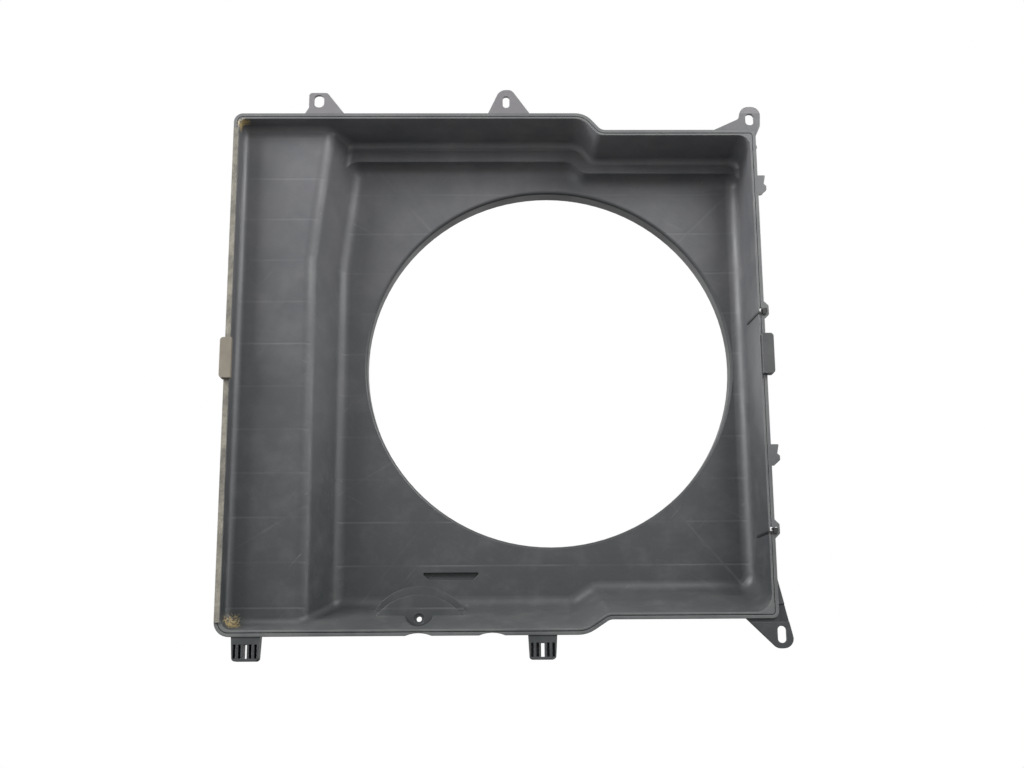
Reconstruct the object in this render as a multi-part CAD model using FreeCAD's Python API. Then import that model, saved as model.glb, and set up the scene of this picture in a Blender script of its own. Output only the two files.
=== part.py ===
# Radiator fan shroud with its edge clips, seal strips and cable ties. Millimetres.
#
# The shroud is an injection-moulded tray that closes the back of a radiator and leads the air
# to a round fan opening. It stands upright: X to the right, Z up, the open radiator side faces -Y.
# Everything is modelled from the middle of the radiator flange's front face, and moved to the
# fan axis, half-way along the ring wall, when it is written out.
import FreeCAD
import Part
import math
import os

V = FreeCAD.Vector

# Radiator flange, seen from the open side
FLANGE_WIDTH = 640.0
FLANGE_HEIGHT = 632.0
FLANGE_THICK = 3.0
TOP_STEP = 22.0
TOP_STEP_X = 120.3
TOP_STEP_RUN = 19.5
BOTTOM_STEP = 17.0
BOTTOM_STEP_X = 115.0
BOTTOM_STEP_RUN = 26.0
FLANGE_TL_R = 11.0
FLANGE_BL_R = 17.0
FLANGE_RIGHT_R = 8.0
TOP_STEP_OUT_R = 27.0
BOTTOM_STEP_OUT_R = 35.0
STEP_IN_R = 12.0
CAVITY_TR_R = 15.0
CAVITY_BR_R = 20.0
BEAD_INSET = 4.3
BEAD_WIDTH = 0.9
BEAD_DEEP = 0.8

# Depths behind the flange face
PANEL_DEEP = 22.0
LEDGE_DEEP = 60.0
PLATE_DEEP = 79.0

# Walls: rim width at the mouth, then how far each wall leans in per millimetre of depth
WALL = 2.5
RIM = 7.0
WALL_LEAN = 0.1375
SIDE_LEAN = 0.0633
SILL_LEAN = 0.40
RAMP_LEAN = 0.526
LEDGE_WIDTH = 24.0
LEDGE_WIDTH_RIGHT = 18.0
PLENUM_X = -222.0
PLENUM_BEND_Z = 140.0
PLENUM_BEND_LEAN = 0.117

# Rounding inside the tray
RIDGE_R = 18.0
PANEL_R = 9.0
PLATE_R = 16.0
LEDGE_ROOT_R = 8.0
PLENUM_CORNER_R = 14.0

# Fan opening
FAN_X = 65.9
FAN_Z = 16.0
FAN_R = 225.0
RING_WALL = 2.5
RING_LENGTH = 24.0
RING_LIP = 5.0
RING_LIP_THICK = 2.5
MOUTH_R = 3.0

# Stiffening ribs on the back
RIB_THICK = 2.0
RIB_HIGH = 8.0
RIB_PITCH = 52.18
RIB_COUNT = 12
RIB_EDGE = 1.5
RIB_TOP_Z = 291.6
FAN_RIB_ANGLES = (44.0, 130.0, 232.0, 310.0)

# Half-moon pads, screw seat and blind pocket at the bottom of the plate
PAD_X = -91.0
PAD_R = 64.0
PAD_LOW_Z = -320.0
PAD_LOW_RISE = 21.0
PAD_HIGH_Z = -331.0
PAD_HIGH_RISE = 35.0
SEAT_Z = -288.0
SEAT_R = 17.0
SCREW_Z = -295.0
SCREW_HOLE_R = 3.25
SCREW_SINK_R = 6.0
SCREW_SINK_DEEP = 1.2
SCREW_BOSS_R = 8.5
SCREW_BOSS_LONG = 14.0
POCKET_X = -55.0
POCKET_Z = -243.5
POCKET_TOP_LONG = 70.0
POCKET_BOTTOM_LONG = 53.0
POCKET_HIGH = 9.0
POCKET_DEEP = 5.0

# Ears, feet and small features of the flange
EAR_THICK = 4.0
EAR_BACK = 1.0
EAR_ROOT = 5.0
EAR_WEB_SINK = 1.5
NOTCH_CHORD = 30.0
NOTCH_HIGH = 3.0
NOTCH_XS = (-89.6, -6.0)
FOOT_XS = (-283.9, 51.2)
FOOT_WIDTH = 34.0
FOOT_TAPER = 2.2
FOOT_LONG = 27.0
FOOT_THICK = 16.0
FOOT_FRONT = 1.0
FOOT_HEAD = 8.5
FOOT_ROOT = 13.0
COMB_SLOT = 3.0
COMB_PITCH = 6.0
COMB_COUNT = 5
COMB_DEEP = 11.0
COMB_FLOOR = 3.0
WINDOW_WIDTH = 4.4
HOOK_ZS = (222.0, -111.0)
HOOK_REACH = 10.0
HOOK_HIGH = 25.0
HOOK_DEEP = 9.0
TIE_ZS = (64.0, -197.5)
TIE_TAB_REACH = 5.5
TIE_TAB_HIGH = 22.0
TIE_HOLE_HIGH = 5.0
TIE_HOLE_WIDE = 3.2
TIE_BRIDGE = 2.4
TIE_BRIDGE_IN = 1.2

# Fitted pieces
FIT = 0.15
STRIP_WIDTH = 6.0
STRIP_THICK = 1.6
STRIP_TOP_Z = 297.0
STRIP_BOTTOM_Z = -300.0
STRIP_EDGE = 0.4
STRIP_GAP = 0.3
CLIP_WALL = 1.8
CLIP_REACH_OUT = 4.6
CLIP_REACH_IN = 9.2
CLIP_HIGH = 49.0
LEFT_CLIP_Z = 6.5
RIGHT_CLIP_Z = 9.6
RIGHT_CLIP_EXTRA = 3.6
CLIP_SOCKET = 3.2
CLIP_SOCKET_DEEP = 30.0
CLIP_TEETH = 2
CLIP_TOOTH = 1.6
TIE_WIDTH = 2.4
TIE_BAND = 1.0
TIE_HEAD = 4.2
TIE_HEAD_THICK = 3.2
TIE_TAIL = 52.0

LEFT = -FLANGE_WIDTH / 2
RIGHT = FLANGE_WIDTH / 2
TOP = FLANGE_HEIGHT / 2
BOTTOM = -FLANGE_HEIGHT / 2
TOP_RIGHT = TOP - TOP_STEP
BOTTOM_RIGHT = BOTTOM + BOTTOM_STEP


def flangeOutline():
    # Clockwise from the top left, with a sloping step in the top and in the bottom edge
    return [
        (LEFT, TOP),
        (TOP_STEP_X - TOP_STEP_RUN / 2, TOP),
        (TOP_STEP_X + TOP_STEP_RUN / 2, TOP_RIGHT),
        (RIGHT, TOP_RIGHT),
        (RIGHT, BOTTOM_RIGHT),
        (BOTTOM_STEP_X + BOTTOM_STEP_RUN / 2, BOTTOM_RIGHT),
        (BOTTOM_STEP_X - BOTTOM_STEP_RUN / 2, BOTTOM),
        (LEFT, BOTTOM),
    ]


def plenumOutline():
    # The same edges, but closed on the left where the deep plenum starts, behind the shallow panel
    bend = (PLENUM_X, PLENUM_BEND_Z)
    return [
        (PLENUM_X + PLENUM_BEND_LEAN * (TOP - PLENUM_BEND_Z), TOP),
        *flangeOutline()[1:7],
        (PLENUM_X, BOTTOM),
        bend,
    ]


def inset(outline, distances):
    # Moves each side of a clockwise outline inward by its own distance
    lines = []
    for i, (x, z) in enumerate(outline):
        nextX, nextZ = outline[(i + 1) % len(outline)]
        length = math.hypot(nextX - x, nextZ - z)
        along = ((nextX - x) / length, (nextZ - z) / length)
        start = (x + along[1] * distances[i], z - along[0] * distances[i])
        lines.append((start, along))
    corners = []
    for i in range(len(lines)):
        (a, u), (b, v) = lines[i - 1], lines[i]
        reach = ((b[0] - a[0]) * v[1] - (b[1] - a[1]) * v[0]) / (u[0] * v[1] - u[1] * v[0])
        corners.append((a[0] + u[0] * reach, a[1] + u[1] * reach))
    return corners


def rounded(corners, depth):
    # Closed wire through (x, z, radius) corners, with each corner as an arc
    starts, ends, edges = [], [], []
    for i, (x, z, radius) in enumerate(corners):
        here = V(x, depth, z)
        before = V(corners[i - 1][0], depth, corners[i - 1][1]) - here
        after = V(corners[(i + 1) % len(corners)][0], depth, corners[(i + 1) % len(corners)][1]) - here
        before.normalize()
        after.normalize()
        half = before.getAngle(after) / 2
        starts.append(here + before * (radius / math.tan(half)))
        ends.append(here + after * (radius / math.tan(half)))
        if radius > 0:
            bisector = (before + after).normalize()
            crown = here + bisector * (radius / math.sin(half) - radius)
            edges.append(Part.Arc(starts[i], crown, ends[i]).toShape())
    for i in range(len(corners)):
        if (starts[i] - ends[i - 1]).Length > 1e-6:
            edges.append(Part.LineSegment(ends[i - 1], starts[i]).toShape())
    return Part.Wire(Part.__sortEdges__(edges))


def prism(corners, front, back):
    corners = [corner if len(corner) == 3 else (*corner, 0) for corner in corners]
    return Part.Face(rounded(corners, front)).extrude(V(0, back - front, 0))


def box(x0, x1, y0, y1, z0, z1):
    return Part.makeBox(x1 - x0, y1 - y0, z1 - z0, V(x0, y0, z0))


def disc(x, z, radius, front, back):
    return Part.makeCylinder(radius, back - front, V(x, front, z), V(0, 1, 0))


def slot(x0, x1, z0, z1, front, back):
    radius = 0.45 * min(x1 - x0, z1 - z0)
    return prism([(x0, z1, radius), (x1, z1, radius), (x1, z0, radius), (x0, z0, radius)], front, back)


def wallInsets(depth, ledges, left):
    # How far the walls stand inside the outline at one depth, clockwise from the top
    top = RIM + WALL_LEAN * depth
    side = RIM + SIDE_LEAN * depth
    sill = RIM + SILL_LEAN * depth
    return [top + ledges[0], top + ledges[1], top + ledges[2], side, sill, sill, sill, *left]


def traySections(grow):
    # Front and back section of each bay of the tray, as (corners, depth) pairs
    ledges = (LEDGE_WIDTH, (LEDGE_WIDTH + LEDGE_WIDTH_RIGHT) / 2, LEDGE_WIDTH_RIGHT)
    flat = (0, 0, 0)
    outer, inner = flangeOutline(), plenumOutline()
    panel, ledge, plate = PANEL_DEEP + grow, LEDGE_DEEP + grow, PLATE_DEEP + grow

    def section(outline, depth, steps):
        if len(outline) == len(outer):
            left = [RIM + SIDE_LEAN * depth]
        else:
            left = [RAMP_LEAN * (depth - PANEL_DEEP)] * 2
        return inset(outline, [distance - grow for distance in wallInsets(depth, steps, left)]), depth

    return [
        (section(outer, 0, flat), section(outer, panel, flat)),
        (section(inner, panel, flat), section(inner, ledge, flat)),
        (section(inner, ledge, ledges), section(inner, plate, ledges)),
    ]


def bay(front, back):
    # Solid between two sections whose sides run parallel in pairs
    (frontCorners, frontDepth), (backCorners, backDepth) = front, back
    near = [V(x, frontDepth, z) for x, z in frontCorners]
    far = [V(x, backDepth, z) for x, z in backCorners]
    loops = [near, far]
    for i in range(len(near)):
        j = (i + 1) % len(near)
        loops.append([near[i], near[j], far[j], far[i]])
    faces = [Part.Face(Part.makePolygon(loop + loop[:1])) for loop in loops]
    solid = Part.Solid(Part.makeShell(faces))
    if solid.Volume < 0:
        solid.reverse()
    return solid


def tray(grow):
    bays = [bay(*sections) for sections in traySections(grow)]
    return bays[0].fuse(bays[1:]).removeSplitter().Solids[0]


def middle(a, b):
    return (a + b) / 2


def edgesThrough(solid, points):
    found = []
    for point in points:
        vertex = Part.Vertex(point)
        for edge in solid.Edges:
            if edge.distToShape(vertex)[0] < 1e-3 and not any(edge.isSame(other) for other in found):
                found.append(edge)
    return found


def roundedTray(grow):
    # The tray with its corners rounded: radii of hollows grow with the offset, radii of ridges shrink
    sections = traySections(grow)

    def corner(i, bays):
        points = []
        for k in bays:
            (near, y0), (far, y1) = sections[k]
            points.append(middle(V(near[i][0], y0, near[i][1]), V(far[i][0], y1, far[i][1])))
        return points

    def sides(k, end, indices):
        corners, depth = sections[k][end]
        points = []
        for i in indices:
            j = (i + 1) % len(corners)
            points.append(middle(V(corners[i][0], depth, corners[i][1]), V(corners[j][0], depth, corners[j][1])))
        return points

    solid = tray(grow)
    (panel, panelDepth), allBays = sections[0][1], (0, 1, 2)
    panelLeft = panel[0][0]
    floorEdges = [
        V(panelLeft, panelDepth, 0),
        V(middle(panelLeft, PLENUM_X), panelDepth, panel[0][1]),
        V(middle(panelLeft, PLENUM_X), panelDepth, panel[7][1]),
    ]
    steps = (
        (RIDGE_R - grow, sides(1, 0, (7, 8))),
        (FLANGE_TL_R - 3 + grow, corner(0, (0,))),
        (FLANGE_BL_R - 3 + grow, corner(7, (0,))),
        (TOP_STEP_OUT_R - 2 + grow, corner(1, allBays)),
        (STEP_IN_R - grow, corner(2, allBays)),
        (CAVITY_TR_R + grow, corner(3, allBays)),
        (CAVITY_BR_R + grow, corner(4, allBays)),
        (STEP_IN_R - grow, corner(5, allBays)),
        (BOTTOM_STEP_OUT_R - 5 + grow, corner(6, allBays)),
        (PLENUM_CORNER_R + grow, corner(0, (2,))),
    )
    for radius, points in steps:
        solid = solid.makeFillet(radius, edgesThrough(solid, points))
    plateDepth = sections[2][1][1]
    atPlate = [edge for edge in solid.Edges if edge.BoundBox.YMin > plateDepth - 1e-3]
    solid = solid.makeFillet(PLATE_R + grow, atPlate)
    solid = solid.makeFillet(PANEL_R + grow, edgesThrough(solid, floorEdges))
    solid = solid.makeFillet(LEDGE_ROOT_R + grow, edgesThrough(solid, sides(1, 1, (0, 1, 2))))
    return solid.Solids[0]


def flangeCorners(inward):
    # The flange outline with its corner radii, moved inward all round
    radii = (
        FLANGE_TL_R,
        TOP_STEP_OUT_R,
        STEP_IN_R,
        FLANGE_RIGHT_R,
        FLANGE_RIGHT_R,
        STEP_IN_R,
        BOTTOM_STEP_OUT_R,
        FLANGE_BL_R,
    )
    outline = flangeOutline()
    points = inset(outline, [inward] * len(outline))
    corners = []
    for i, (x, z) in enumerate(points):
        radius = radii[i] + inward if i in (2, 5) else radii[i] - inward
        corners.append((x, z, radius))
    return corners


def beadGroove():
    outer = prism(flangeCorners(BEAD_INSET - BEAD_WIDTH / 2), -1, BEAD_DEEP)
    inner = prism(flangeCorners(BEAD_INSET + BEAD_WIDTH / 2), -1, BEAD_DEEP)
    return outer.cut(inner)


def rearRibs():
    # Thin level ribs right across the back and ribs that run out from the fan ring to the corners
    back = PLATE_DEEP + WALL + RIB_HIGH
    slabs = []
    for k in range(RIB_COUNT):
        z = RIB_TOP_Z - k * RIB_PITCH
        slabs.append(box(LEFT, RIGHT, 0, back, z - RIB_THICK / 2, z + RIB_THICK / 2))
    for angle in FAN_RIB_ANGLES:
        rib = box(FAN_R, FLANGE_WIDTH, PLATE_DEEP, back, -RIB_THICK / 2, RIB_THICK / 2)
        rib.rotate(V(0, 0, 0), V(0, -1, 0), angle)
        rib.translate(V(FAN_X, 0, FAN_Z))
        slabs.append(rib)
    reach = prism(flangeCorners(RIB_EDGE), 0, back)
    envelope = tray(WALL + RIB_HIGH).common(reach)
    return [slab.common(envelope) for slab in slabs]


def revolved(profile, x, z):
    # Turns a closed (radius, depth) profile about an axis along the depth
    wire = Part.makePolygon([V(x + radius, depth, z) for radius, depth in profile + profile[:1]])
    return Part.Face(wire).revolve(V(x, 0, z), V(0, 1, 0), 360)


def fanRing():
    back = PLATE_DEEP + RING_LENGTH
    outer = FAN_R + RING_WALL
    profile = [
        (FAN_R - 1, PLATE_DEEP),
        (outer + MOUTH_R, PLATE_DEEP),
        (outer + MOUTH_R, PLATE_DEEP + WALL),
        (outer, PLATE_DEEP + WALL + MOUTH_R),
        (outer, back - RING_LIP_THICK),
        (outer + RING_LIP, back - RING_LIP_THICK),
        (outer + RING_LIP, back),
        (FAN_R - 1, back),
    ]
    return revolved(profile, FAN_X, FAN_Z)


def fanBore():
    # The opening, with a rounded lip in two bevels where the air turns in
    back = PLATE_DEEP + RING_LENGTH + 1
    knee = MOUTH_R * (1 - math.sqrt(0.5))
    profile = [
        (0, PLATE_DEEP - 1),
        (FAN_R + MOUTH_R, PLATE_DEEP - 1),
        (FAN_R + MOUTH_R, PLATE_DEEP),
        (FAN_R + knee, PLATE_DEEP + knee),
        (FAN_R, PLATE_DEEP + MOUTH_R),
        (FAN_R, back),
        (0, back),
    ]
    return revolved(profile, FAN_X, FAN_Z)


def padFaces():
    # Depth of the faces of the low and the high half-moon pad
    return PLATE_DEEP - PAD_LOW_RISE, PLATE_DEEP - PAD_HIGH_RISE


def halfMoons(shrink, hollow):
    # Two stepped discs standing on the sill; with a shrink they are the space behind the pads
    lowFace, highFace = padFaces()
    back = PLATE_DEEP + 2 * WALL
    low = disc(PAD_X, PAD_LOW_Z, PAD_R - shrink, lowFace + hollow, back)
    high = disc(PAD_X, PAD_HIGH_Z, PAD_R - shrink, highFace + hollow, back)
    return low.fuse(high)


def pocket(grow, back):
    # Blind slot in the plate, its ends leaning towards each other at the bottom
    top = POCKET_TOP_LONG / 2 + grow
    bottom = POCKET_BOTTOM_LONG / 2 + grow
    high = POCKET_HIGH / 2 + grow
    radius = 1.5 + grow
    corners = [
        (POCKET_X - top, POCKET_Z + high, radius),
        (POCKET_X + top, POCKET_Z + high, radius),
        (POCKET_X + bottom, POCKET_Z - high, radius),
        (POCKET_X - bottom, POCKET_Z - high, radius),
    ]
    return prism(corners, PLATE_DEEP - 1, back)


def topLeftEar():
    front, back = EAR_BACK, EAR_BACK + EAR_THICK
    root = TOP - EAR_ROOT
    corners = [
        (-236.5, root, 0),
        (-229, TOP + 8, 2),
        (-229, TOP + 27.4, 4),
        (-206.5, TOP + 27.4, 4),
        (-181.5, root, 0),
    ]
    return prism(corners, front, back).cut(slot(-222.7, -210.5, TOP + 8.3, TOP + 24.4, 0, back + 1))


def topMiddleEar():
    front, back = EAR_BACK, EAR_BACK + EAR_THICK
    root = TOP - EAR_ROOT
    corners = [(-11.2, root, 0), (5.6, TOP + 31.2, 12), (20.4, TOP + 31.2, 8), (46, root, 0)]
    return prism(corners, front, back).cut(slot(9.4, 17.6, TOP + 7.6, TOP + 22.6, 0, back + 1))


def topRightEar():
    # A round tab on a short arm that leans out over the corner
    front, back = EAR_BACK, EAR_BACK + EAR_THICK
    corners = [
        (262, TOP_RIGHT - EAR_ROOT, 0),
        (268.4, TOP_RIGHT, 0),
        (300.3, TOP_RIGHT + 15, 6),
        (303, TOP_RIGHT + 30.7, 11),
        (327.4, TOP_RIGHT + 30.7, 11),
        (326, TOP_RIGHT + 5, 5),
        (318.5, TOP_RIGHT - 12, 6),
        (321.5, TOP_RIGHT - 24, 1),
        (RIGHT - EAR_ROOT, TOP_RIGHT - 24, 0),
    ]
    hole = slot(308.4, 318.7, TOP_RIGHT + 6.7, TOP_RIGHT + 21.4, 0, back + 1)
    return prism(corners, front, back).cut(hole)


def bottomRightEar():
    # A long corner bracket: thin web next to the flange, thicker pad around the slot
    front, back = EAR_BACK, EAR_BACK + EAR_THICK
    corners = [
        (RIGHT - EAR_ROOT, BOTTOM_RIGHT + 45, 0),
        (RIGHT, BOTTOM_RIGHT + 45, 0),
        (338, BOTTOM_RIGHT - 33.5, 11),
        (316.7, BOTTOM_RIGHT - 33.5, 11),
        (282.5, BOTTOM_RIGHT, 0),
        (282.5, BOTTOM_RIGHT + EAR_ROOT, 0),
    ]
    ear = prism(corners, front, back)
    web = box(282.5, 345, 0, front + EAR_WEB_SINK, BOTTOM_RIGHT - 4, BOTTOM_RIGHT + 16)
    hole = slot(317.4, 327.4, BOTTOM_RIGHT - 27.4, BOTTOM_RIGHT - 8.4, 0, back + 1)
    return ear.cut([web, hole])


def foot(x):
    # Locating foot: solid head at the flange, comb of narrow pockets below, a window in the middle
    half = FOOT_WIDTH / 2
    tip = BOTTOM - FOOT_LONG
    back = FOOT_FRONT + FOOT_THICK
    corners = [
        (x - half, BOTTOM + FOOT_ROOT, 0),
        (x + half, BOTTOM + FOOT_ROOT, 0),
        (x + half - FOOT_TAPER, tip, 4),
        (x - half + FOOT_TAPER, tip, 4),
    ]
    block = prism(corners, FOOT_FRONT, back)
    cuts = []
    for k in range(COMB_COUNT):
        at = x + (k - (COMB_COUNT - 1) / 2) * COMB_PITCH
        centre = k == COMB_COUNT // 2
        wide = WINDOW_WIDTH if centre else COMB_SLOT
        deep = back + 1 if centre else FOOT_FRONT + COMB_DEEP
        cuts.append(box(at - wide / 2, at + wide / 2, 0, deep, tip + COMB_FLOOR, BOTTOM - FOOT_HEAD))
    return block.cut(cuts)


def hook(z):
    # Two barbs on the flange edge that hold a harness, with a short return behind them
    half = HOOK_HIGH / 2
    out = RIGHT + HOOK_REACH
    corners = [
        (RIGHT - 2, z + half, 0),
        (out - 1, z + half, 1),
        (out - 3, z + 1.5, 1),
        (out, z - 1, 1),
        (out, z - half / 2, 2),
        (RIGHT + 3, z - half, 1),
        (RIGHT - 2, z - half, 0),
    ]
    barbs = prism(corners, 0, FLANGE_THICK)
    strap = box(RIGHT - 2, out - 4, 0, HOOK_DEEP, z - half + 3, z + half)
    return barbs.fuse(strap)


def tieTab(z):
    half = TIE_TAB_HIGH / 2
    reach = RIGHT + TIE_TAB_REACH
    corners = [
        (RIGHT - EAR_ROOT, z + half, 0),
        (RIGHT, z + half, 0),
        (reach, z + half / 2, 2),
        (reach, z - half / 2, 2),
        (RIGHT, z - half, 0),
        (RIGHT - EAR_ROOT, z - half, 0),
    ]
    return prism(corners, 0, FLANGE_THICK)


def tieHoles(z):
    # One hole on each side of a narrow bridge; the cable tie loops around the bridge
    bridge = RIGHT - TIE_BRIDGE_IN
    high = TIE_HOLE_HIGH / 2
    inner = box(bridge - TIE_BRIDGE / 2 - TIE_HOLE_WIDE, bridge - TIE_BRIDGE / 2, -1, 10, z - high, z + high)
    outer = box(bridge + TIE_BRIDGE / 2, bridge + TIE_BRIDGE / 2 + TIE_HOLE_WIDE, -1, 10, z - high, z + high)
    return [inner, outer]


def shroudShell():
    lowFace, highFace = padFaces()
    seatBack = highFace + SCREW_BOSS_LONG
    skin = roundedTray(WALL)
    outside = [
        prism(flangeCorners(0), 0, FLANGE_THICK),
        fanRing(),
        pocket(WALL, PLATE_DEEP + POCKET_DEEP + WALL),
        disc(PAD_X, SEAT_Z, SEAT_R + WALL, FLANGE_THICK, highFace + WALL),
        topLeftEar(),
        topMiddleEar(),
        topRightEar(),
        bottomRightEar(),
        *rearRibs(),
        *[foot(x) for x in FOOT_XS],
        *[hook(z) for z in HOOK_ZS],
        *[tieTab(z) for z in TIE_ZS],
    ]
    body = skin.fuse(outside)
    notchR = (NOTCH_CHORD ** 2 / 4 + NOTCH_HIGH ** 2) / (2 * NOTCH_HIGH)
    cuts = [
        roundedTray(0).cut(halfMoons(0, 0)),
        fanBore(),
        halfMoons(WALL, WALL),
        disc(PAD_X, SEAT_Z, SEAT_R, 0, highFace),
        pocket(0, PLATE_DEEP + POCKET_DEEP),
        beadGroove(),
        *[disc(x, BOTTOM + NOTCH_HIGH - notchR, notchR, -1, FLANGE_THICK + 1) for x in NOTCH_XS],
    ]
    for z in TIE_ZS:
        cuts.extend(tieHoles(z))
    body = body.cut(cuts)
    boss = disc(PAD_X, SCREW_Z, SCREW_BOSS_R, highFace, seatBack)
    hole = disc(PAD_X, SCREW_Z, SCREW_HOLE_R, highFace - 1, seatBack + 1)
    sink = disc(PAD_X, SCREW_Z, SCREW_SINK_R, highFace - 1, highFace + SCREW_SINK_DEEP)
    return body.fuse(boss).cut([hole, sink]).removeSplitter()


def sealStrip(low, high):
    # Foam strip stuck on the left side of the flange face
    x0 = LEFT + STRIP_EDGE
    return box(x0, x0 + STRIP_WIDTH, -STRIP_THICK, 0, low, high)


def edgeClip(side, z, extra):
    # Clip pushed over the flange edge; side is -1 at the left edge and 1 at the right edge
    high = CLIP_HIGH / 2
    edge = RIGHT
    outer = edge + CLIP_REACH_OUT + extra
    inner = edge - CLIP_REACH_IN + extra
    skirt = edge - (RIM - WALL) + FIT
    front = -FIT - CLIP_WALL - CLIP_SOCKET - CLIP_WALL
    back = FLANGE_THICK + FIT + CLIP_WALL
    corners = [
        (inner, z + high, 1),
        (outer, z + high, 4),
        (outer, z - high, 4),
        (inner, z - high, 1),
    ]
    body = prism(corners, front, back)
    cuts = [
        box(inner - 1, edge + FIT, -FIT, FLANGE_THICK + FIT, z - high - 1, z + high + 1),
        box(inner - 1, skirt, 0, back + 1, z - high - 1, z + high + 1),
        box(
            inner + CLIP_WALL,
            outer - CLIP_WALL,
            front + CLIP_WALL,
            front + CLIP_WALL + CLIP_SOCKET,
            z - high - 1,
            z - high + CLIP_SOCKET_DEEP,
        ),
    ]
    body = body.cut(cuts)
    teeth = []
    span = outer - inner - 2 * CLIP_WALL
    for k in range(CLIP_TEETH):
        at = inner + CLIP_WALL + span * (k + 1) / (CLIP_TEETH + 1)
        floor = front + CLIP_WALL
        tooth = box(at - CLIP_TOOTH / 2, at + CLIP_TOOTH / 2, floor, floor + CLIP_SOCKET / 2, z - high, z - high + 5)
        teeth.append(tooth)
    body = body.fuse(teeth).removeSplitter()
    if side < 0:
        body = body.mirror(V(0, 0, 0), V(1, 0, 0))
    return body


def cableTie(z):
    # Loop around the bridge of the tie tab, a square head in front and the cut tail along the wall
    bridge = RIGHT - TIE_BRIDGE_IN
    gap = FIT
    half = TIE_WIDTH / 2
    x0 = bridge - TIE_BRIDGE / 2 - gap
    x1 = bridge + TIE_BRIDGE / 2 + gap
    outer = box(x0 - TIE_BAND, x1 + TIE_BAND, -gap - TIE_BAND, FLANGE_THICK + gap + TIE_BAND, z - half, z + half)
    inner = box(x0, x1, -gap, FLANGE_THICK + gap, z - half - 1, z + half + 1)
    loop = outer.cut(inner)
    headX = bridge + TIE_BRIDGE / 2
    front = -gap - TIE_HEAD_THICK
    head = box(headX - TIE_HEAD / 2, headX + TIE_HEAD / 2, front, -gap, z - half - TIE_HEAD, z + half)
    tail = tieTail(z - half - TIE_HEAD / 2, headX, gap)
    return loop.fuse([head, tail]).removeSplitter()


def tieTail(z, headX, gap):
    # From the head across the rim, then along the leaning inner wall
    def wall(depth):
        return RIGHT - RIM - SIDE_LEAN * depth

    bend = -gap - TIE_BAND
    thick = TIE_BAND
    outline = [
        (headX, -gap),
        (headX, bend),
        (wall(0) - gap - thick, bend),
        (wall(TIE_TAIL) - gap - thick, TIE_TAIL),
        (wall(TIE_TAIL) - gap, TIE_TAIL),
        (wall(0) - gap, -gap),
    ]
    low = z - TIE_WIDTH / 2
    wire = Part.makePolygon([V(x, y, low) for x, y in outline + outline[:1]])
    return Part.Face(wire).extrude(V(0, 0, TIE_WIDTH))


def pieces():
    clipHalf = CLIP_HIGH / 2 + STRIP_GAP
    return {
        "shroud_shell": shroudShell(),
        "seal_strip_left_upper": sealStrip(LEFT_CLIP_Z + clipHalf, STRIP_TOP_Z),
        "seal_strip_left_lower": sealStrip(STRIP_BOTTOM_Z, LEFT_CLIP_Z - clipHalf),
        "edge_clip_left": edgeClip(-1, LEFT_CLIP_Z, 0),
        "edge_clip_right": edgeClip(1, RIGHT_CLIP_Z, RIGHT_CLIP_EXTRA),
        "cable_tie_upper": cableTie(TIE_ZS[0]),
        "cable_tie_lower": cableTie(TIE_ZS[1]),
    }


def main():
    os.makedirs("parts", exist_ok=True)
    toFanAxis = V(-FAN_X, -PLATE_DEEP - RING_LENGTH / 2, -FAN_Z)
    for name, shape in pieces().items():
        shape.translate(toFanAxis)
        shape.exportStep("parts/" + name + ".step")
        print(name, len(shape.Solids), shape.isValid(), round(shape.Volume))


main()
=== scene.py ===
import bpy
from math import cos, radians, sin
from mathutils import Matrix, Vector


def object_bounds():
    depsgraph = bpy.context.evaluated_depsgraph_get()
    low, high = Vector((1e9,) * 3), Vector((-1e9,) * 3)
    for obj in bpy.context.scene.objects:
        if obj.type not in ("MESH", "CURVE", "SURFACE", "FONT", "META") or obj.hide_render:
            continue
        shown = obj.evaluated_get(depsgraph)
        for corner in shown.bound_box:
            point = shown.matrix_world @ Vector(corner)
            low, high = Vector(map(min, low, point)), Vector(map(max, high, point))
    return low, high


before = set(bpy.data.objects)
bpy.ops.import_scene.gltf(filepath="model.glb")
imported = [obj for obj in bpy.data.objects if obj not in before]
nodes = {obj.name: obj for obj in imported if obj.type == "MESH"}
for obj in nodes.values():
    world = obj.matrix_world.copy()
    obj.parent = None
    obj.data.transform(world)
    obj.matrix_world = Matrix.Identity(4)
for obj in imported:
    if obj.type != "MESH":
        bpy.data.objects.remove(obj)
cadLow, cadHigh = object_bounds()
mm = 0.001  # the frame is in metres
print("frame loaded:", len(nodes), "nodes")


def sceneColor(hexCode):  # sRGB hex to linear
    channels = [int(hexCode[i:i + 2], 16) / 255 for i in (1, 3, 5)]
    return [c / 12.92 if c <= 0.04045 else ((c + 0.055) / 1.055) ** 2.4 for c in channels] + [1.0]


def addNode(tree, kind, settings):
    # a setting is a property of the node, or an input by name or number that gets a value or a link;
    # a node given as a value is linked by its first output
    node = tree.nodes.new("ShaderNode" + kind)
    for name, value in settings.items():
        if isinstance(name, str) and hasattr(node, name):
            setattr(node, name, value)
        elif isinstance(value, bpy.types.Node):
            tree.links.new(value.outputs[0], node.inputs[name])
        elif isinstance(value, bpy.types.NodeSocket):
            tree.links.new(value, node.inputs[name])
        else:
            node.inputs[name].default_value = value
    return node


def newMaterial(name, finish):
    material = bpy.data.materials.new(name)
    material.use_nodes = True
    tree = material.node_tree
    tree.nodes.clear()
    shader = addNode(tree, "BsdfPrincipled", finish)
    addNode(tree, "OutputMaterial", {"Surface": shader})
    return material, tree, shader


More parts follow.
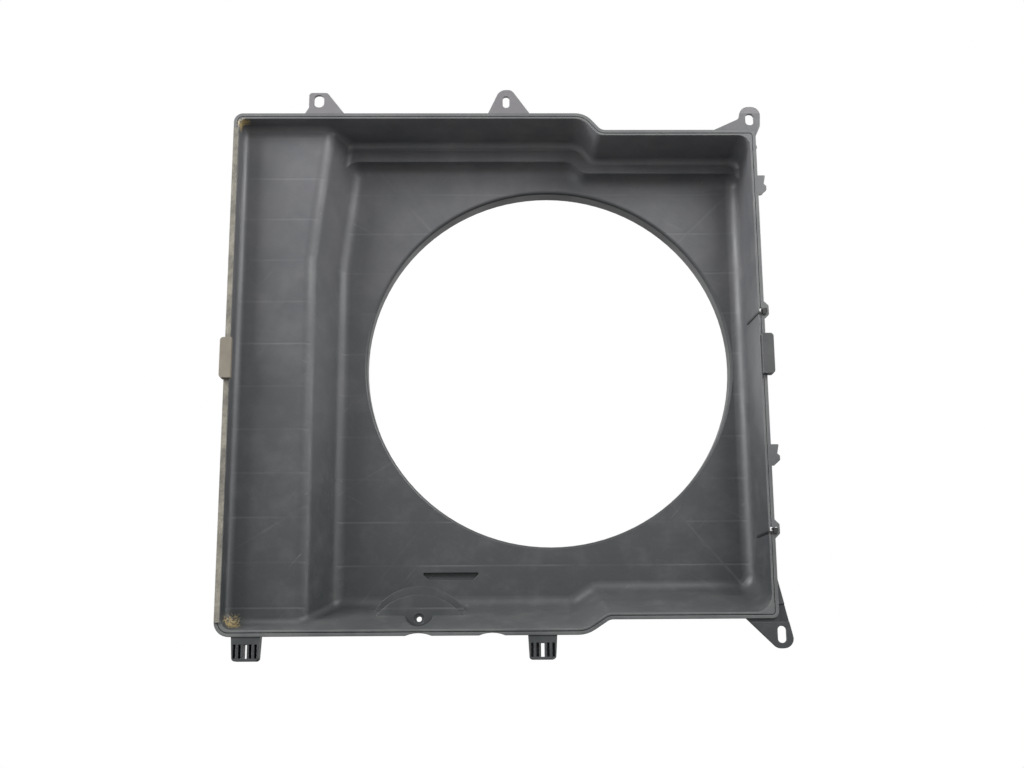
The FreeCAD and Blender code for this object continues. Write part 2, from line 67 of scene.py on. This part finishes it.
# The shell: polypropylene, injection moulded in a fine spark-eroded tool, then years under
# a bonnet. To the eye: a dark grey with a soft broad sheen, dulled by dry dust that lies on
# faces that look up and packs into the corners, and faint sink lines over the rear ribs.
# Painted shade darkens the lower half, the fan ring's wall and the bracket's sunk web, and the sink lines are
# painted lighter as painted highlights.
shellFinish = {
    "plastic": "#4f5053",
    "plasticFaded": "#5a5a5d",
    "paintedShadeLow": "#303335",
    "rimFaded": "#5c5d5e",
    "paintedShadeDark": "#26282a",
    "earPale": "#6f6d70",
    "dust": "#7f7e7b",
    "sand": "#a69468",
    "scuffAndSinkHighlight": "#77787a",
    "roughness": 0.44,
    "ior": 1.49,                # polypropylene
    "edgeRadiusMm": 1.2,
    "grainMm": 1.6,             # the tool's grain is about 0.3 mm; drawn coarser so that it shows
    "mottleMm": 55,
    "paintedShadeGradeMm": (260, -300),     # painted shade: the plastic is painted darker from the first height to the second
    "flangeFaceMm": -91.0,      # front face of the flange along Y
    "rimDepthMm": 0.6,          # how deep the bleached rim is taken to be
    "panelDepthMm": 15.0,       # everything farther back is inside the tray
    "earsAboveMm": 300.3,       # just above the top edge of the flange
    "earDepthMm": 5.5,
    "earPaleness": 0.8,
    "webXZMm": (254.3, -299.0, -319.0),   # side, top and bottom of the bracket's sunk web
    "webDepthMm": 2.1,
    "webShadeAndGrime": 0.85,
    "ringWallMm": (229.5, 226.2),         # the painted shade starts at the first radius, full at the second
    "ringShadeStrength": 0.9,
    "ribPitchMm": 52.18,
    "ribTopMm": 275.6,          # height of the uppermost rear rib
    "ringLineDegrees": (44, 130, 212, 232, 310),
    "ringLineFromMm": 200,
    "sinkWidthMm": 2.2,
    "sinkStrength": 0.22,
    "scratchWays": ((0.7, 22.0), (-1.1, 30.0)),   # turn in radians, stretch along it
    "scratchStrength": 0.35,
    "sandCornersMm": (((-374, -85, 287), 17), ((-367, -78, -312), 20)),   # place and reach
}


def mouldedPolypropylene(name, look, dustAmount=1.0):
    material, tree, shader = newMaterial(name, {"IOR": look["ior"], "Roughness": look["roughness"]})
    place = addNode(tree, "TexCoord", {}).outputs["Object"]
    facing = addNode(tree, "NewGeometry", {}).outputs["Normal"]
    axes = addNode(tree, "SeparateXYZ", {0: place}).outputs
    faces = addNode(tree, "SeparateXYZ", {0: facing}).outputs
    depth = addNode(tree, "Math", {"operation": "SUBTRACT", 0: axes["Y"], 1: look["flangeFaceMm"] * mm})

    # slow mottling, and painted shade that darkens the lower half
    mottle = addNode(tree, "TexNoise", {"Scale": 1 / (look["mottleMm"] * mm), "Detail": 5.0, "Roughness": 0.6,
                                        "Vector": place})
    spread = addNode(tree, "MapRange", {"From Min": 0.35, "From Max": 0.68, "Value": mottle})
    plain = addNode(tree, "Mix", {"data_type": "RGBA", 0: spread, 6: sceneColor(look["plastic"]),
                                  7: sceneColor(look["plasticFaded"])})
    gradeTop, gradeBottom = look["paintedShadeGradeMm"]
    low = addNode(tree, "MapRange", {"From Min": gradeTop * mm, "From Max": gradeBottom * mm, "Value": axes["Z"]})

    # the flange's front face is bleached and rubbed
    front = addNode(tree, "Math", {"operation": "LESS_THAN", 0: depth, 1: look["rimDepthMm"] * mm})
    worn = addNode(tree, "MapRange", {"From Min": 0.3, "From Max": 0.6, "To Min": 0.35, "To Max": 0.95,
                                      "Value": mottle})
    rim = addNode(tree, "Math", {"operation": "MULTIPLY", 0: front, 1: worn})

    # the ears stay paler, and the sunk web of the lower corner bracket is painted darker: painted shade in the
    # recess, with grime
    above, below = "GREATER_THAN", "LESS_THAN"
    webSide, webTop, webBottom = look["webXZMm"]
    zones = []
    for strength, limits in (
            (look["earPaleness"], ((axes["Z"], above, look["earsAboveMm"]), (depth, below, look["earDepthMm"]))),
            (look["webShadeAndGrime"], ((axes["X"], above, webSide), (axes["Z"], below, webTop),
                                (axes["Z"], above, webBottom), (depth, above, look["webDepthMm"])))):
        zone = strength
        for value, side, limit in limits:
            inside = addNode(tree, "Math", {"operation": side, 0: value, 1: limit * mm})
            zone = addNode(tree, "Math", {"operation": "MULTIPLY", 0: zone, 1: inside})
        zones.append(zone)
    ears, webShadeMask = zones

    # sink lines opposite the level rear ribs, painted lighter as a painted highlight
    fromTop = addNode(tree, "Math", {"operation": "SUBTRACT", 0: look["ribTopMm"] * mm, 1: axes["Z"]})
    step = addNode(tree, "Math", {"operation": "DIVIDE", 0: fromTop, 1: look["ribPitchMm"] * mm})
    nearest = addNode(tree, "Math", {"operation": "ROUND", 0: step})
    offLine = addNode(tree, "Math", {"operation": "SUBTRACT", 0: step, 1: nearest})
    offLine = addNode(tree, "Math", {"operation": "ABSOLUTE", 0: offLine})
    lines = addNode(tree, "MapRange", {"interpolation_type": "SMOOTHSTEP", "From Max": 0.0, "Value": offLine,
                                       "From Min": look["sinkWidthMm"] / look["ribPitchMm"]})
    # and of the four ribs that run outwards from the fan ring, with one more flow line at 212 degrees
    for degrees in look["ringLineDegrees"]:
        angle = radians(degrees)
        across = addNode(tree, "VectorMath", {"operation": "DOT_PRODUCT", 0: place, 1: (sin(angle), 0, -cos(angle))})
        along = addNode(tree, "VectorMath", {"operation": "DOT_PRODUCT", 0: place, 1: (cos(angle), 0, sin(angle))})
        across = addNode(tree, "Math", {"operation": "ABSOLUTE", 0: across.outputs["Value"]})
        ray = addNode(tree, "MapRange", {"From Min": look["sinkWidthMm"] * mm, "From Max": 0.0, "Value": across})
        outwards = addNode(tree, "Math", {"operation": "GREATER_THAN", 0: along.outputs["Value"],
                                          1: look["ringLineFromMm"] * mm})
        ray = addNode(tree, "Math", {"operation": "MULTIPLY", 0: ray, 1: outwards})
        lines = addNode(tree, "Math", {"operation": "MAXIMUM", 0: lines, 1: ray})
    # only in the tray, on faces that look forward, and broken up by a slow noise
    forward = addNode(tree, "MapRange", {"From Min": -0.7, "From Max": -0.95, "Value": faces["Y"]})
    behindRim = addNode(tree, "Math", {"operation": "GREATER_THAN", 0: depth, 1: look["panelDepthMm"] * mm})
    patch = addNode(tree, "TexNoise", {"Scale": 14.0, "Detail": 2.0, "Vector": place})
    fade = addNode(tree, "MapRange", {"From Min": 0.4, "From Max": 0.62, "To Min": 0.15, "Value": patch})
    sink = lines
    for mask in (forward, behindRim, fade):
        sink = addNode(tree, "Math", {"operation": "MULTIPLY", 0: sink, 1: mask})
    sinkHighlight = addNode(tree, "Math", {"operation": "MULTIPLY", 0: sink, 1: look["sinkStrength"]})

    # fine scratches: a noise stretched along one way, cut to its thinnest ridges
    scratches = 0.0
    for turn, stretch in look["scratchWays"]:
        laid = addNode(tree, "Mapping", {"vector_type": "TEXTURE", "Rotation": (0.0, turn, 0.0),
                                         "Scale": (1.0, 1.0, stretch), "Vector": place})
        streak = addNode(tree, "TexNoise", {"Scale": 260.0, "Detail": 2.0, "Vector": laid})
        thin = addNode(tree, "MapRange", {"From Min": 0.70, "From Max": 0.80, "Value": streak})
        scratches = addNode(tree, "Math", {"operation": "ADD", "use_clamp": True, 0: scratches, 1: thin})
    scratches = addNode(tree, "Math", {"operation": "MULTIPLY", 0: scratches, 1: look["scratchStrength"]})

    # dry dust on faces that look up, in cloudy patches
    cloud = addNode(tree, "TexNoise", {"Scale": 38.0, "Detail": 6.0, "Roughness": 0.65, "Vector": place})
    up = addNode(tree, "MapRange", {"From Min": 0.2, "From Max": 0.95, "To Max": 0.16, "Value": faces["Z"]})
    film = addNode(tree, "MapRange", {"From Min": 0.46, "From Max": 0.75, "To Max": 0.24, "Value": cloud})
    dust = addNode(tree, "Math", {"operation": "ADD", "use_clamp": True, 0: up, 1: film})
    dust = addNode(tree, "Math", {"operation": "MULTIPLY", 0: dust, 1: 0.5 * dustAmount})

    # painted shade: the ring wall is painted darker, standing in for the shade on its inner face
    fromAxis = addNode(tree, "CombineXYZ", {"X": axes["X"], "Z": axes["Z"]})
    radius = addNode(tree, "VectorMath", {"operation": "LENGTH", 0: fromAxis}).outputs["Value"]
    shadeFrom, shadeFull = look["ringWallMm"]
    ringWallShade = addNode(tree, "MapRange", {"From Min": shadeFrom * mm, "From Max": shadeFull * mm,
                                          "To Max": look["ringShadeStrength"], "Value": radius})

    # sand packed into the two left corners
    grit = addNode(tree, "TexNoise", {"Scale": 420.0, "Detail": 3.0, "Roughness": 0.7, "Vector": place})
    sand = 0.0
    for corner, reach in look["sandCornersMm"]:
        away = addNode(tree, "VectorMath", {"operation": "DISTANCE", 0: place, 1: [c * mm for c in corner]})
        near = addNode(tree, "MapRange", {"From Min": reach * mm, "From Max": reach * mm * 0.25, "To Max": 0.42,
                                          "Value": away.outputs["Value"]})
        sand = addNode(tree, "Math", {"operation": "ADD", "use_clamp": True, 0: sand, 1: near})
    sand = addNode(tree, "Math", {"operation": "MULTIPLY_ADD", 0: grit, 1: 0.72, 2: sand})
    sand = addNode(tree, "MapRange", {"From Min": 0.62, "From Max": 0.74, "Value": sand})

    # each layer of colour lies over the ones before it
    color = plain.outputs[2]
    for mask, layer in ((low, "paintedShadeLow"), (rim, "rimFaded"), (ears, "earPale"), (sinkHighlight, "scuffAndSinkHighlight"),
                        (scratches, "scuffAndSinkHighlight"), (dust, "dust"), (ringWallShade, "paintedShadeDark"), (webShadeMask, "paintedShadeDark"),
                        (sand, "sand")):
        color = addNode(tree, "Mix", {"data_type": "RGBA", 0: mask, 6: color, 7: sceneColor(look[layer])}).outputs[2]
    tree.links.new(color, shader.inputs["Base Color"])

    # dust is matt, clean plastic keeps a soft sheen
    clean = addNode(tree, "MapRange", {"From Min": 0.3, "From Max": 0.7, "To Min": look["roughness"] - 0.05,
                                       "To Max": look["roughness"] + 0.08, "Value": patch})
    matt = addNode(tree, "Math", {"operation": "MULTIPLY_ADD", "use_clamp": True, 0: dust, 1: 0.5, 2: clean})
    tree.links.new(matt.outputs[0], shader.inputs["Roughness"])

    # moulded edges are never sharp, the grain is fine, and thin walls are slightly wavy
    rounded = addNode(tree, "Bevel", {"samples": 4, "Radius": look["edgeRadiusMm"] * mm})
    grain = addNode(tree, "TexNoise", {"Scale": 1 / (look["grainMm"] * mm), "Detail": 2.0, "Vector": place})
    height = 0.0
    for relief, amount in ((grain, 0.06), (sink, -0.35), (mottle, 1.6), (sand, 0.6)):
        height = addNode(tree, "Math", {"operation": "MULTIPLY_ADD", 0: relief, 1: amount, 2: height})
    bump = addNode(tree, "Bump", {"Strength": 0.5, "Distance": 1.0 * mm, "Height": height, "Normal": rounded})
    tree.links.new(bump.outputs[0], shader.inputs["Normal"])
    return material


# Foam strip: closed-cell polyethylene foam, skived flat and glued on, dusty and beige with age.
# To the eye: pale, quite matt, pitted with open cells coloured darker, in two tones where it has been pressed.
foamFinish = {"foam": "#64625c", "foamPale": "#88847a", "pitDark": "#3f3d39", "roughness": 0.93, "ior": 1.45,
              "cellMm": 1.8, "patchMm": 22, "pitMm": 0.6}


def skivedPolyethylene(name, look):
    material, tree, shader = newMaterial(name, {"Roughness": look["roughness"], "IOR": look["ior"]})
    place = addNode(tree, "TexCoord", {}).outputs["Object"]
    patch = addNode(tree, "TexNoise", {"Scale": 1 / (look["patchMm"] * mm), "Detail": 5.0, "Roughness": 0.7,
                                       "Vector": place})
    tone = addNode(tree, "MapRange", {"From Min": 0.4, "From Max": 0.62, "Value": patch})
    base = addNode(tree, "Mix", {"data_type": "RGBA", 0: tone, 6: sceneColor(look["foam"]),
                                 7: sceneColor(look["foamPale"])})
    cells = addNode(tree, "TexVoronoi", {"Scale": 1 / (look["cellMm"] * mm), "Vector": place})
    pits = addNode(tree, "MapRange", {"From Min": 0.28, "From Max": 0.05, "To Max": 0.55, "Value": cells})
    pitted = addNode(tree, "Mix", {"data_type": "RGBA", 0: pits, 6: base.outputs[2], 7: sceneColor(look["pitDark"])})
    tree.links.new(pitted.outputs[2], shader.inputs["Base Color"])
    bump = addNode(tree, "Bump", {"Strength": 0.6, "Distance": look["pitMm"] * mm, "Height": cells})
    tree.links.new(bump.outputs[0], shader.inputs["Normal"])
    return material


# Cable tie: nylon 6.6, injection moulded, black. To the eye: darker and glossier than the
# shell, with a little dust that has settled on it.
nylonFinish = {"nylon": "#17181a", "dust": "#4d4b47", "roughness": 0.34, "ior": 1.53}


def mouldedNylon(name, look):
    material, tree, shader = newMaterial(name, {"Roughness": look["roughness"], "IOR": look["ior"]})
    place = addNode(tree, "TexCoord", {}).outputs["Object"]
    cloud = addNode(tree, "TexNoise", {"Scale": 300.0, "Detail": 4.0, "Vector": place})
    film = addNode(tree, "MapRange", {"From Min": 0.5, "From Max": 0.75, "To Max": 0.5, "Value": cloud})
    color = addNode(tree, "Mix", {"data_type": "RGBA", 0: film, 6: sceneColor(look["nylon"]),
                                  7: sceneColor(look["dust"])})
    tree.links.new(color.outputs[2], shader.inputs["Base Color"])
    return material


# The left clip is the same plastic under a beige coat of dust, the right one is a darker moulding
leftClipFinish = dict(shellFinish, plastic="#5d554f", plasticFaded="#706960", paintedShadeLow="#554e48",
                      rimFaded="#746e62", dust="#a39a8a", roughness=0.6)
rightClipFinish = dict(shellFinish, plastic="#2f3032", plasticFaded="#38393b", paintedShadeLow="#2a2c2e",
                       rimFaded="#3a3b3c")

foam = skivedPolyethylene("skivedPolyethyleneFoam", foamFinish)
nylon = mouldedNylon("mouldedNylon", nylonFinish)
wornBy = {
    "shroud_shell": mouldedPolypropylene("mouldedPolypropylene", shellFinish),
    "edge_clip_left": mouldedPolypropylene("mouldedPolypropyleneDusty", leftClipFinish, 1.2),
    "edge_clip_right": mouldedPolypropylene("mouldedPolypropyleneDark", rightClipFinish, 0.6),
    "seal_strip_left_upper": foam,
    "seal_strip_left_lower": foam,
    "cable_tie_upper": nylon,
    "cable_tie_lower": nylon,
}
for node, material in wornBy.items():
    materials = nodes[node].data.materials
    if not materials:
        materials.append(material)
    for i in range(len(materials)):
        materials[i] = material
print("materials on the CAD nodes")

# Studio: a pale sheet under the feet, seen only from above, that fades to white away from the part
studio = {
    "floorSize": 9.0,
    "floorY": 0.8,
    "fadeFrom": 0.55,
    "fadeTo": 1.7,
    "floor": "#f4f4f2",
    "floorBounce": "#7c7c7a",   # what the floor gives back to the part
    "floorRoughness": 0.9,
    "white": (1, 1, 1, 1),
    "worldLevel": 0.13,
}
lights = {
    "keyLight": {"place": (-1.75, -0.95, 1.15), "aim": (0.1, 0, 0.05), "size": (0.9, 0.9), "watts": 62},
    "leftFill": {"place": (-2.0, -0.45, 0.35), "aim": (0.2, 0, 0), "size": (0.8, 1.2), "watts": 26},
    "rightFill": {"place": (2.0, -0.45, 0.45), "aim": (-0.2, 0, 0), "size": (0.8, 1.2), "watts": 20},
    "stripLight": {"place": (1.2, -1.35, 1.15), "aim": (-0.1, 0, 0.1), "size": (1.0, 0.8), "watts": 36},
}


def whiteForCamera(tree, plain, white):  # the camera, gloss and glass see white, all else the plain shader
    path = addNode(tree, "LightPath", {}).outputs
    seen = path["Is Camera Ray"]
    for ray in ("Is Glossy Ray", "Is Transmission Ray"):
        seen = addNode(tree, "Math", {"operation": "ADD", "use_clamp": True, 0: seen, 1: path[ray]}).outputs[0]
    return addNode(tree, "MixShader", {0: seen, 1: plain, 2: white})


bpy.ops.object.select_all(action="DESELECT")
bpy.ops.mesh.primitive_plane_add(size=studio["floorSize"], location=(0, studio["floorY"], cadLow.z))
floor = bpy.context.object
floor.name = "floor"
bpy.ops.object.transform_apply(location=True, rotation=True, scale=True)
floorMaterial, tree, shader = newMaterial("paintedFloor", {"Roughness": studio["floorRoughness"]})
paint = addNode(tree, "Mix", {"data_type": "RGBA", 0: addNode(tree, "LightPath", {}).outputs["Is Camera Ray"],
                              6: sceneColor(studio["floorBounce"]), 7: sceneColor(studio["floor"])})
tree.links.new(paint.outputs[2], shader.inputs["Base Color"])
place = addNode(tree, "TexCoord", {}).outputs["Object"]
reach = addNode(tree, "VectorMath", {"operation": "LENGTH", 0: place}).outputs["Value"]
far = addNode(tree, "MapRange", {"interpolation_type": "SMOOTHSTEP", "From Min": studio["fadeFrom"],
                                 "From Max": studio["fadeTo"], "Value": reach})
glow = addNode(tree, "Emission", {"Color": studio["white"], "Strength": 1.0})
faded = addNode(tree, "MixShader", {0: far, 1: shader, 2: glow})
surface = whiteForCamera(tree, shader, faded)
fromBelow = addNode(tree, "NewGeometry", {}).outputs["Backfacing"]
oneSided = addNode(tree, "MixShader", {0: fromBelow, 1: surface, 2: addNode(tree, "BsdfTransparent", {})})
tree.links.new(oneSided.outputs[0], tree.nodes["Material Output"].inputs["Surface"])
floor.data.materials.append(floorMaterial)

world = bpy.data.worlds.new("studioWorld")
bpy.context.scene.world = world
world.use_nodes = True
tree = world.node_tree
tree.nodes.clear()
dim = addNode(tree, "Background", {"Color": studio["white"], "Strength": studio["worldLevel"]})
bright = addNode(tree, "Background", {"Color": studio["white"], "Strength": 1.0})
addNode(tree, "OutputWorld", {"Surface": whiteForCamera(tree, dim, bright)})

for name, look in lights.items():
    bpy.ops.object.select_all(action="DESELECT")
    bpy.ops.object.light_add(type="AREA", location=look["place"])
    light = bpy.context.object
    light.name = name
    light.rotation_euler = (Vector(look["aim"]) - Vector(look["place"])).to_track_quat("-Z", "Y").to_euler()
    light.data.shape = "RECTANGLE"
    light.data.size, light.data.size_y = look["size"]
    light.data.energy = look["watts"]

# Camera: 48 mm lens, just below the level of the feet and looking up by about 13 degrees
view = {"place": (-0.0731, -1.6474, -0.3917), "turn": (102.6803, 0.4, -0.85), "lens": 47.73, "sensor": 36.0}
bpy.ops.object.camera_add(location=view["place"], rotation=[radians(a) for a in view["turn"]])
camera = bpy.context.object
camera.data.lens = view["lens"]
camera.data.sensor_width = view["sensor"]
bpy.context.scene.camera = camera
bpy.context.scene.view_settings.view_transform = "Standard"
print("studio and camera set")
